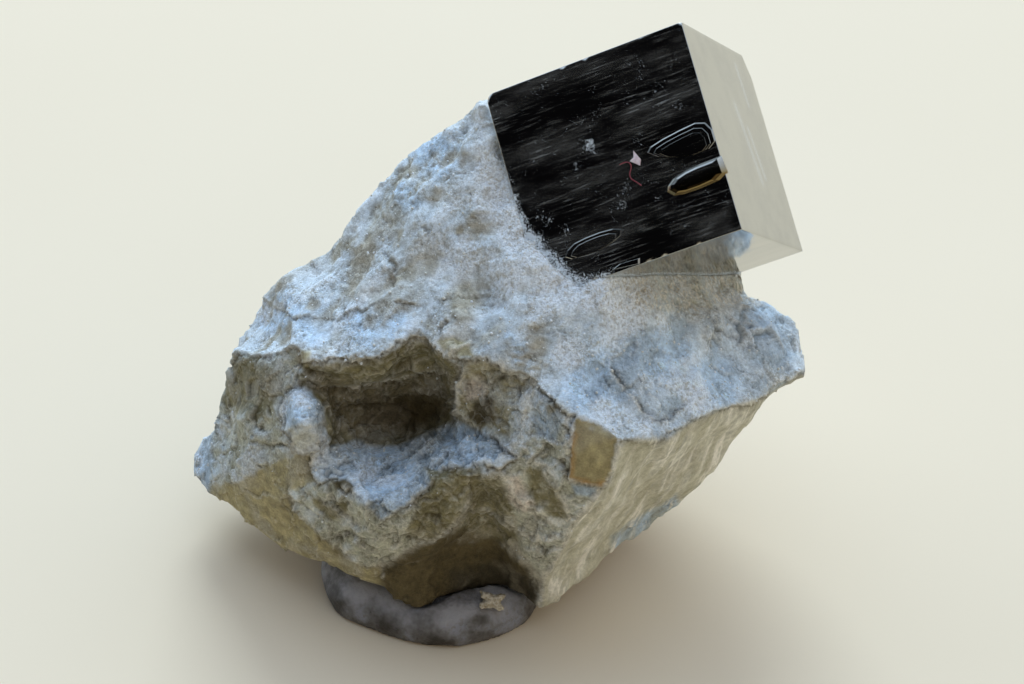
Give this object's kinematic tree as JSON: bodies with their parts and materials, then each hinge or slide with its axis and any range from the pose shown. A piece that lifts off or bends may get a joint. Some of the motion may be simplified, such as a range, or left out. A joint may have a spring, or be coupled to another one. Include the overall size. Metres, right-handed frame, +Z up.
{
  "type": "pyrite crystal on marl matrix",
  "caption": "Cubic pyrite crystal grown at the upper corner of a rough, hollowed piece of pale marl, standing on a flattened wad of grey display putty.",
  "frame": {"origin": "under the middle of the specimen's extent, on the surface that the putty stands on", "axes": "+Z up, +X to the right and +Y to the back, as the specimen is shown with the crystal at the upper right"},
  "size_m": [0.0598, 0.0452, 0.0557],
  "materials": {
    "marl": "matte",
    "pyrite": "polished",
    "putty": "matte",
    "crumb": "matte"
  },
  "bodies": {
    "root": {"matrix": "marl", "pyrite_cube": "pyrite", "putty_base": "putty", "crumb": "crumb"}
  },
  "joints": []
}
